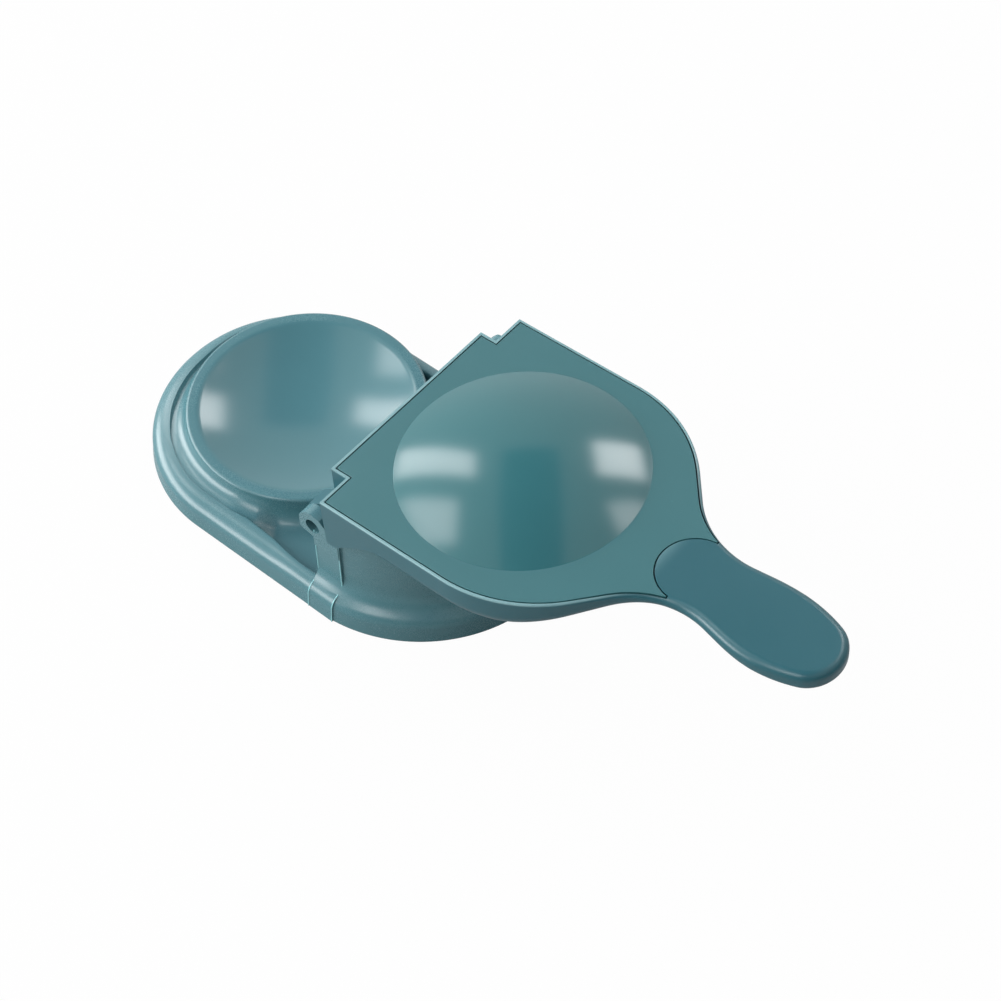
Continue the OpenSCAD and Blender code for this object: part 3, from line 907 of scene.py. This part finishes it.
    def post(self, side: Side) -> Solid:
        """Builds a post whose outer face runs on down over shoulder and skirt.

        Args:
            side: The side of the press.

        Returns:
            The solid.
        """
        outline = np.concatenate([
            [[self.post_inner, self.post_top]], self.post_line(),
            [[57.2, 0.15], [56.6, 5.0], [50.5, 9.0], [self.post_inner, 11.0]]])

        def place(points: Array) -> Array:
            """Puts (y, z, x) of the outline on its side."""
            return np.column_stack([points[:, 2], side.value * points[:, 0], points[:, 1]])

        return Solid.prism("post", outline, 0.0, self.post_w, place)

    def seam(self, side: Side, x: float) -> Solid:
        """Builds a mould seam: a thin bead that follows the outer line of a post.

        Each point of the line carries a ring of radius `bead` square to the line.

        Args:
            side: The side of the press.
            x: Its place along the press.

        Returns:
            The solid.
        """
        path = self.post_line()
        way = np.gradient(path, axis=0)
        way /= np.linalg.norm(way, axis=1)[:, None]
        out = np.column_stack([-way[:, 1], way[:, 0]])
        a = np.linspace(0, 2 * np.pi, 12, endpoint=False)
        offset = self.bead * np.sin(a)[None, :, None] * out[:, None, :]
        ring = path[:, None, :] + offset
        rings = np.stack([x + self.bead * np.cos(a)[None, :] + 0 * ring[..., 0],
                          side.value * ring[..., 0], ring[..., 1]], axis=-1)
        return Solid.loft("seam", rings)

    def seams(self) -> Solid:
        """Builds the mould seams along both edges of both posts, as one piece."""
        beads = [self.seam(side, x) for side in Side for x in (0.15, self.post_w - 0.15)]
        first = beads[0]
        for bead in beads[1:]:
            first.work(bead, Operation.JOIN)
        first.obj.name = "stand_seams"
        return first.shade(60)

    def ear(self, side: Side) -> Solid:
        """Builds an ear: an angular head on a neck, with a slanted underside and the pin's bore.

        Args:
            side: The side of the press.

        Returns:
            The solid.
        """
        low, high = sorted((side.value * self.ear_inner, side.value * self.ear_outer))
        head = np.array([[0.0, -5.9], [-5.9, -4.5], [-6.25, -3.9], [-6.25, 1.9], [-5.9, 2.8],
                         [-3.8, 5.4], [-2.9, 6.0], [0.0, 6.75], [3.6, 5.9], [6.3, 3.2],
                         [6.7, 0.0], [6.6, -1.5]]) + [0.0, AXIS_Z]
        neck_top = self.post_top
        outline = np.concatenate([
            head, [[self.post_w, neck_top], [self.post_w, neck_top - 8], [0.0, neck_top - 8]]])
        ear = Solid.prism("ear", outline, low, high, across)
        bore = Solid.prism("bore", arc((0.0, AXIS_Z), self.bore_r, 0, 352.5, 48), low - 2, high + 2,
                           across)
        return ear.work(bore, Operation.CUT)

    def ribs(self) -> Solid:
        """Builds the ribs under the dish: twelve spokes and two rings."""
        half, reach, low, top = 1.0, 44.0, 0.4, 9.5
        ribs, outer = (self.turned_rib(rectangle(r - half, low, r + half, top))
                       for r in (15.0, 30.0))
        ribs.work(outer, Operation.JOIN)
        for a in np.arange(6) * np.pi / 6:
            turn = np.array([[np.cos(a), np.sin(a)], [-np.sin(a), np.cos(a)]])
            outline = rectangle(-reach, -half, reach, half) @ turn - [STATION_X, 0]
            ribs.work(Solid.prism("spoke", outline, low, top), Operation.JOIN)
        ribs.obj.name = "stand_ribs"
        return ribs

    @staticmethod
    def turned_rib(profile: Array) -> Solid:
        """Turns a closed profile round the dish's axis."""
        a = np.linspace(0, 2 * np.pi, 72, endpoint=False)
        rings = np.stack([profile[:, 0, None] * np.cos(a) - STATION_X,
                          profile[:, 0, None] * np.sin(a), profile[:, 1, None] + 0 * a], axis=-1)
        index = np.arange(rings.shape[0] * rings.shape[1]).reshape(rings.shape[:2])
        return Solid("ring", rings.reshape(-1, 3), bands(np.vstack([index, index[0]])).tolist())

    def build(self) -> list[bpy.types.Object]:
        """Builds and dresses the stand.

        Returns:
            Its objects.
        """
        stand = self.body()
        stand.work(self.block(), Operation.JOIN)
        for side in Side:
            stand.work(self.post(side), Operation.JOIN)
            stand.work(self.ear(side), Operation.JOIN)
        stand.round_edges(0.28, 38)
        stand.obj.name = "stand_body"
        ribs = self.ribs().round_edges(0.2, 50, 2)
        return [dress(stand.shade(), STAND_PLASTIC, "stand", "stand"),
                dress(ribs.shade(), STAND_PLASTIC, "stand"),
                # Seams: thin beads whose pale colour is a painted highlight.
                dress(self.seams(), SEAM_HIGHLIGHT_PLASTIC, "stand")]


# ---------------------------------------------------------------- lid
@dataclass
class LidOutline:
    """Plan of the lid: straight sides, round corners, slanted stretches, hollow neck, handle."""

    half: float = 54.3
    side_end: float = 62.5
    corner_r: float = 54.0
    corner_turn: float = 49.0
    neck_r: float = 36.0
    neck_half: float = 13.9
    handle_half: float = 15.3
    tip: float = 187.5
    wide: float = 158.8
    tip_r: float = 12.6
    hinge_end: float = -13.6

    def __post_init__(self) -> None:
        """Works out where the curves touch each other."""
        self.slant = 90 - self.corner_turn
        s = math.radians(self.slant)
        reach = (self.side_end * math.cos(s) + (self.half - self.corner_r) * math.sin(s)
                 + self.corner_r)
        self.neck_u = (reach + self.neck_r - (self.neck_half + self.neck_r) * math.sin(s)
                       ) / math.cos(s)
        gain = self.handle_half - self.neck_half
        self.flare = 1.5 * math.degrees(math.atan(gain / (self.wide - self.neck_u)))
        f = math.radians(self.flare)
        self.tip_u = self.tip - self.tip_r
        wide_gain = self.handle_half - self.tip_r
        self.wide_r = ((self.tip_u - self.wide) ** 2 / wide_gain + self.handle_half
                       + self.tip_r) / 2
        self.tip_angle = math.degrees(math.asin((self.tip_u - self.wide)
                                                / (self.wide_r - self.tip_r)))
        self.bend_r = ((self.wide - self.neck_u - self.neck_r * math.sin(f)
                        - (gain - self.neck_r * (1 - math.cos(f))) / math.tan(f))
                       / (math.sin(f) - (1 - math.cos(f)) / math.tan(f)))

    def side(self) -> tuple[Array, Array]:
        """Points and outward normals of one side, from the hinge end to the tip.

        Returns:
            The points and the normals, two columns each.
        """
        points, normals = [], []

        def straight(a: Sequence[float], b: Sequence[float], normal: Sequence[float],
                     count: int) -> None:
            """Adds a straight stretch."""
            points.append(line(a, b, count))
            normals.append(np.tile(normal, (count, 1)))

        def curve(centre: Sequence[float], r: float, a0: float, a1: float, count: int,
                  sign: int = 1) -> None:
            """Adds an arc, hollow where sign is -1."""
            points.append(arc(centre, r, a0, a1, count))
            normals.append(sign * arc((0, 0), 1, a0, a1, count))

        straight((self.hinge_end, self.half), (self.side_end - 2, self.half), (0, 1), 34)
        curve((self.side_end, self.half - self.corner_r), self.corner_r, 90, self.slant, 40)
        curve((self.neck_u, self.neck_half + self.neck_r), self.neck_r, 180 + self.slant,
              270 + self.flare, 34, -1)
        curve((self.wide, self.handle_half - self.bend_r), self.bend_r, 90 + self.flare, 90, 8)
        curve((self.wide, self.handle_half - self.wide_r), self.wide_r,
              90 - self.tip_angle / 6, 90 - self.tip_angle, 10)
        curve((self.tip_u, 0), self.tip_r, 90 - self.tip_angle - 5, 0, 20)
        return np.concatenate(points), np.concatenate(normals)

    def ring(self, inset: Any = 0.0) -> Array:
        """The whole outline drawn in by an amount, as points round it."""
        points, normals = self.side()
        drawn = points - normals * np.asarray(inset).reshape(-1, 1)
        return np.concatenate([drawn, drawn[-2::-1] * [1, -1]])


@dataclass
class Lid:
    """The upper moulding with its handle, and the press plate let into it."""

    outline: LidOutline
    depth: float = 15.0
    neck_t: float = 5.4
    handle_t: float = 7.6
    face_r: float = 0.5
    handle_face_r: float = 2.8
    back_r: float = 7.0
    handle_back_r: float = 2.6
    thin_u: float = 80.0
    tab_u: float = 0.5
    tab_half: float = 40.6
    side_u: float = 7.6
    rim: float = 1.0
    gap: float = 0.5
    plate_t: float = 3.0
    root_u: float = 128.2
    root_r: float = 13.7
    horn_cut: float = 1.7
    cheek_t: float = 1.5
    cheek_drop: float = 2.0
    cheek_u: float = 46.0
    cheek_top: float = 15.5
    knuckle_end: float = 47.9
    thin_end: float = 127.0
    thick_again: tuple[float, float] = (132.0, 176.0)
    grip_start: tuple[float, float] = (124.0, 165.0)
    grip_gain: float = 0.10
    grip_shift: float = 1.5

    def share(self, u: Array) -> Array:
        """0 on the lid's body, 1 on its handle."""
        return smooth_step(self.thin_u, self.outline.neck_u, u)

    def skin(self) -> Solid:
        """Builds the lid's skin: each outline point carries a profile round face, wall and back.

        The face edge is a quarter circle, the wall is straight, and the back edge is a larger
        quarter circle. Both radii change smoothly towards the handle; the depth falls to the
        neck and grows again towards the tip. From the neck on the handle becomes broader by
        grip_gain and moves by grip_shift towards the front.
        """
        points, normals = self.outline.side()
        u = points[:, 0]
        share = self.share(u)
        face = blend(self.face_r, self.handle_face_r, share)
        back = blend(self.back_r, self.handle_back_r, share)
        depth = blend(self.depth, self.neck_t, smooth_step(self.thin_u, self.thin_end, u))
        depth += (self.handle_t - self.neck_t) * smooth_step(*self.thick_again, u)
        insets, heights = [], []
        for a in np.radians(np.linspace(0, 90, 8)):
            insets.append(face * (1 - math.sin(a)))
            heights.append(PLATE_H - face * (1 - math.cos(a)))
        wall_top, wall_low = heights[-1], PLATE_H - depth + back
        for t in (0.33, 0.67):
            insets.append(0 * face)
            heights.append(blend(wall_top, wall_low, t))
        for a in np.radians(np.linspace(0, 90, 12)):
            insets.append(back * (1 - math.cos(a)))
            heights.append(PLATE_H - depth + back * (1 - math.sin(a)))
        inset, height = np.array(insets), np.array(heights)
        right = np.concatenate([points[None] - normals[None] * inset[..., None],
                                height[..., None]], axis=-1)
        left = right[:, -2::-1] * [1, -1, 1]
        rings = np.concatenate([right, left], axis=1)
        grip = smooth_step(*self.grip_start, rings[..., 0])
        rings[..., 1] = rings[..., 1] * (1 + self.grip_gain * grip) - self.grip_shift * grip
        rows, cols = rings.shape[:2]
        index = np.arange(rows * cols).reshape(rows, cols)
        half = len(points)
        k = np.arange(half - 2)
        last = index[-1]
        strips = np.stack([last[k], last[k + 1], last[cols - 2 - k], last[cols - 1 - k]], -1)
        faces = bands(index).tolist() + strips.tolist()
        faces.append([int(last[half - 2]), int(last[half - 1]), int(last[half])])
        faces.append(index[0].tolist())
        return Solid("lid_shell", in_lid(rings.reshape(-1, 3)), faces)

    def hinge_side(self, inset: float) -> Array:
        """Outline that limits the lid towards the hinge: a tab, set back beside the ears."""
        t, s, u = self.tab_half - inset, self.side_u + inset, self.tab_u + inset
        far = self.outline.tip + 1
        wide = self.outline.half + 1
        return np.array([[u, -t], [s, -t], [s, -wide], [far, -wide], [far, wide], [s, wide],
                         [s, t], [u, t]])

    def blank(self, inset: float, low: float, high: float) -> Solid:
        """A slab in the shape of the press plate, drawn in from the lid's outline.

        Args:
            inset: How far its edge lies inside the lid's outline.
            low: Its lower face.
            high: Its upper face.

        Returns:
            The solid.
        """
        slab = Solid.prism("slab", self.outline.ring(inset), low, high, in_lid)
        slab.work(Solid.prism("hinge_side", self.hinge_side(inset), low - 1, high + 1, in_lid),
                  Operation.KEEP)
        end = self.root_u - self.horn_cut - (inset - self.rim - self.gap)
        wide = self.outline.half + 5
        slab.work(Solid.prism("end", rectangle(-30, -wide, end, wide), low - 1, high + 1, in_lid),
                  Operation.KEEP)
        radius = self.root_r + inset - self.rim
        root = arc((self.root_u, 0), radius, 0, 357.5, 144)
        slab.work(Solid.prism("root", root, low - 1, high + 1, in_lid), Operation.CUT)
        return slab

    def cheek(self, side: Side) -> Solid:
        """The flat cheek beside an ear: it reaches below the axis and sweeps up along the lid.

        Its lower edge is a parabola, drop below the axis at the hinge and level with the back's
        rounding at its end.

        Args:
            side: The side of the press.

        Returns:
            The solid.
        """
        t = np.linspace(0, 1, 25)
        foot = self.side_u + 4.5
        rise = self.cheek_drop + PLATE_H - self.depth + self.back_r + 0.9
        edge = np.column_stack([blend(foot, self.cheek_u, t),
                                rise * (1 - (1 - t) ** 2) - self.cheek_drop])
        outline = np.concatenate([[[self.side_u, -self.cheek_drop]], edge,
                                  [[self.cheek_u, self.cheek_top], [self.side_u, self.cheek_top]]])
        low, high = sorted((side.value * (self.outline.half - self.cheek_t),
                            side.value * self.outline.half))
        return Solid.prism("cheek", outline, low, high, across_lid)

    def knuckle(self, side: Side) -> Solid:
        """The barrel that turns inside an ear, with its web up to the lid.

        Args:
            side: The side of the press.

        Returns:
            The solid.
        """
        back_w = PLATE_H - self.depth
        outline = np.concatenate([
            arc((0, 0), BARREL_R, 150, 360, 44),
            [[BARREL_R, back_w - 1], [self.side_u + 1, back_w + 1],
             [self.side_u + 1, PLATE_H - 7]]])
        low, high = sorted((side.value * (self.tab_half - 1), side.value * self.knuckle_end))
        return Solid.prism("knuckle", outline, low, high, across_lid)

    def shell(self) -> Solid:
        """Builds the lid's moulding with the seat of the plate cut into its face."""
        shell = self.skin()
        limit = Solid.prism("limit", self.hinge_side(0), -20, 45, in_lid)
        shell.work(limit, Operation.KEEP)
        for side in Side:
            shell.work(self.cheek(side), Operation.JOIN)
            shell.work(self.knuckle(side), Operation.JOIN)
        seat = self.blank(self.rim, PLATE_H - self.plate_t, PLATE_H + 3)
        shell.work(seat, Operation.CUT)
        shell.round_edges(0.22, 42)
        return shell

    def plate(self) -> Solid:
        """Builds the press plate with its dome, z = centre + sqrt(R^2 - r^2), on top."""
        plate = self.blank(self.rim + self.gap, PLATE_H - self.plate_t, PLATE_H)
        plate.round_edges(0.22, 50)
        r = np.linspace(0, DOME_R, 40)
        cap = np.column_stack([r, DOME_CENTRE_W - 0.005 + np.sqrt(DOME_SPHERE_R**2 - r * r)])
        profile = np.concatenate([cap, [[DOME_R, PLATE_H - 1], [0, PLATE_H - 1]]])
        dome = Solid.turned("dome", profile, 240, lambda p: in_lid(p + [STATION_X, 0, 0]))
        plate.work(dome, Operation.JOIN)
        return plate

    def build(self) -> list[bpy.types.Object]:
        """Builds and dresses the lid's shell and plate.

        Returns:
            Their objects.
        """
        shell, plate = self.shell(), self.plate()
        shell.obj.name, plate.obj.name = "lid_shell_body", "press_plate_body"
        return [dress(shell.shade(), LID_PLASTIC, "lid", "lid_shell"),
                dress(plate.shade(15), PLATE_PLASTIC, "lid", "press_plate")]


@dataclass
class HingePins:
    """The two dowels in the ears and knuckles."""

    radius: float = 3.1
    inner: float = 41.0
    outer: float = 50.6
    chamfer: float = 0.4

    def build(self) -> list[bpy.types.Object]:
        """Builds both pins as turned, chamfered dowels.

        Returns:
            Their objects.
        """
        made = []
        r, c = self.radius, self.chamfer
        profile = np.array([[0, self.inner], [r - c, self.inner], [r, self.inner + c],
                            [r, self.outer - c], [r - c, self.outer], [r * 0.4, self.outer],
                            [r * 0.3, self.outer - 0.3], [0, self.outer - 0.3]])
        for side, node in ((Side.FRONT, "hinge_pin_front"), (Side.REAR, "hinge_pin_rear")):
            def place(points: Array, sign: int = side.value) -> Array:
                """Lays the pin along the hinge."""
                return np.column_stack([points[:, 0], sign * points[:, 2],
                                        points[:, 1] + AXIS_Z])

            pin = Solid.turned(f"{node}_dowel", profile, 48, place).shade(30)
            # The pin's near black colour is painted shade in the bore.
            made.append(dress(pin, PIN_SHADE_PLASTIC, "lid", node))
        return made


# ---------------------------------------------------------------- studio
@dataclass(frozen=True)
class Window:
    """A bright pane of the room, given by its corners in the plane overhead.

    A direction (x, y, z) meets that plane at (x / z, y / z).
    """

    corners: tuple[tuple[float, float], ...]
    radiance: float

    def share(self, x: Wire, y: Wire, soft: float = 0.05) -> Wire:
        """1 inside the pane and 0 outside: the product of a soft step at each of its edges.

        Args:
            x: First place in the plane overhead.
            y: Second place.
            soft: Half width of each step.

        Returns:
            The share.
        """
        inside: Any = 1.0
        ring = np.array(self.corners)
        after = np.roll(ring, -1, axis=0)
        area = (ring[:, 0] * after[:, 1] - after[:, 0] * ring[:, 1]).sum()
        for (ax, ay), (bx, by) in zip(ring.tolist(), after.tolist()):
            length = math.copysign(math.hypot(bx - ax, by - ay), area)
            nx, ny = (ay - by) / length, (bx - ax) / length
            inside = (x * nx + y * ny - (ax * nx + ay * ny)).rise(-soft, soft) * inside
        return inside


def put(name: str, data: Any, spot: Array, axes: Sequence[Array]) -> bpy.types.Object:
    """Puts a lamp or a camera at a spot.

    Args:
        name: Name of its object.
        data: The lamp or camera.
        spot: Its place in metres.
        axes: Its directions to the right, up and back.

    Returns:
        Its object.
    """
    holder = bpy.data.objects.new(name, data)
    frame = np.vstack([np.column_stack([*axes, spot]), [0, 0, 0, 1]])
    holder.matrix_world = Matrix(frame.tolist())
    bpy.context.scene.collection.objects.link(holder)
    return holder


@dataclass
class Studio:
    """Floor, background, windows, key light and camera."""

    windows: tuple[Window, ...] = (
        Window(((-0.74, 0.27), (-0.97, 0.50), (-2.70, 0.68), (-1.95, 0.16)), 7.8),
        Window(((-0.70, 0.06), (-1.45, -0.07), (-0.78, -0.34), (-0.49, -0.22)), 5.6),
        Window(((-0.14, 0.80), (0.09, 1.20), (-0.25, 1.75), (-0.44, 1.20)), 9.4),
        Window(((0.06, 0.62), (0.27, 0.50), (0.38, 0.75), (0.20, 0.94)), 4.8),
        Window(((-0.12, -1.60), (0.22, -1.60), (0.22, -0.60), (-0.12, -0.60)), 7.0),
    )
    key_radiance: float = 9.6
    floor_grey: float = 0.40

    def key(self) -> None:
        """Hangs one wide soft lamp low at the left; power is radiance times pi times area."""
        azimuth, elevation, distance = math.radians(216), math.radians(18), 1.8
        width, height = 2.4, 0.8
        back = np.array([math.cos(azimuth) * math.cos(elevation),
                         math.sin(azimuth) * math.cos(elevation), math.sin(elevation)])
        x = np.array([-math.sin(azimuth), math.cos(azimuth), 0.0])
        y = np.cross(back, x)
        lamp = bpy.data.lights.new("key", "AREA")
        lamp.shape = "RECTANGLE"
        lamp.size, lamp.size_y = width, height
        lamp.energy = self.key_radiance * math.pi * width * height
        put("key", lamp, back * distance, (x, y, back))

    def floor(self) -> None:
        """Lays a pale floor that looks white and keeps a faint shadow of the press."""
        reach = 4000.0
        floor = Solid.prism("floor", rectangle(-reach, -reach, reach, reach), -10.0, -0.15)
        made = bpy.data.materials.new("floor_white")
        g = Graph(made)
        ray = g.add("ShaderNodeLightPath", output="Is Camera Ray")
        matte = g.add("ShaderNodeBsdfDiffuse", {}, {"Color": (*(self.floor_grey,) * 3, 1)})
        glow = g.add("ShaderNodeEmission", {}, {"Color": (1, 1, 1, 1), "Strength": 1.0})
        shader = g.add("ShaderNodeMixShader", {}, {0: ray * 0.975, 1: matte, 2: glow})
        g.add("ShaderNodeOutputMaterial", {}, {0: shader})
        floor.obj.data.materials.append(made)

    def world(self) -> None:
        """Fills the room: white to the camera; for the press bright windows and a plain room.

        The room is brightest at the horizon behind and to the left, dark to the right and in
        front, and mid grey overhead with one darker beam across.
        """
        made = bpy.data.worlds.new("studio")
        bpy.context.scene.world = made
        g = Graph(made)
        way = g.add("ShaderNodeTexCoord", output="Generated")
        x, y, z = (g.add("ShaderNodeSeparateXYZ", {}, {0: way}, output=axis) for axis in "XYZ")
        up = g.add("ShaderNodeMath", {"operation": "MAXIMUM"}, {0: z, 1: 0.03})
        px, py = x / up, y / up
        bright_side = (x * -0.866 + y * 0.5).rise(-0.7, 0.85)
        horizon = bright_side * 1.05 + 0.15
        beam = px * 0.766 + py * 0.643 + 0.03
        beam = beam.rise(-0.21, -0.16) * (1 - beam.rise(0.16, 0.21))
        beam = beam * (1 - (py * 0.766 - px * 0.643).rise(0.90, 1.02))
        overhead = 1.00 - beam * 0.80
        share = z.rise(0.12, 0.72)
        room = horizon * (1 - share) + overhead * share
        for window in self.windows:
            pane = window.share(px, py) * (z > 0.05)
            room = room + pane * window.radiance
        ray = g.add("ShaderNodeLightPath", output="Is Camera Ray")
        level = ray + (1 - ray) * room
        colour = g.tint(beam * share * (1 - ray), (1.0, 1.0, 1.0), (0.50, 0.72, 1.45))
        shade = g.add("ShaderNodeBackground", {}, {"Color": colour, "Strength": level})
        g.add("ShaderNodeOutputWorld", {}, {0: shade})

    def camera(self) -> None:
        """Places the camera as it stood for the photograph: azimuth, elevation, distance, roll."""
        azimuth, elevation, roll = (math.radians(a) for a in (40.419, 52.946, -0.901))
        target = np.array([23.688, 21.422, 0.0]) * MM
        distance = 885.54 * MM
        back = np.array([math.sin(azimuth) * math.cos(elevation),
                         -math.cos(azimuth) * math.cos(elevation), math.sin(elevation)])
        right = np.array([math.cos(azimuth), math.sin(azimuth), 0.0])
        up = np.cross(back, right)
        c, s = math.cos(roll), math.sin(roll)
        right, up = right * c + up * s, up * c - right * s
        data = bpy.data.cameras.new("camera")
        data.sensor_width = 36.0
        data.lens = 2349.55 / 1001 * 36.0
        data.clip_start, data.clip_end = 0.01, 30.0
        bpy.context.scene.camera = put("camera", data, target + back * distance,
                                       (right, up, back))

    def build(self) -> None:
        """Sets up everything round the press."""
        self.key()
        self.floor()
        self.world()
        self.camera()
        bpy.context.scene.view_settings.view_transform = "Standard"


def report(objects: Sequence[bpy.types.Object]) -> None:
    """Logs the size and the number of faces of each piece.

    Args:
        objects: The pieces.
    """
    for obj in objects:
        LOG.info("%-22s %7d faces, %s mm", obj.name, len(obj.data.polygons),
                 [round(d / MM, 1) for d in obj.dimensions])


def main() -> None:
    """Builds the studio and the press."""
    logging.basicConfig(level=logging.INFO, format="%(message)s")
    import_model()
    Studio().build()
    report(Stand().build())
    report(Lid(LidOutline()).build())
    report(HingePins().build())
    bpy.context.view_layer.update()


if __name__ == "__main__":
    main()
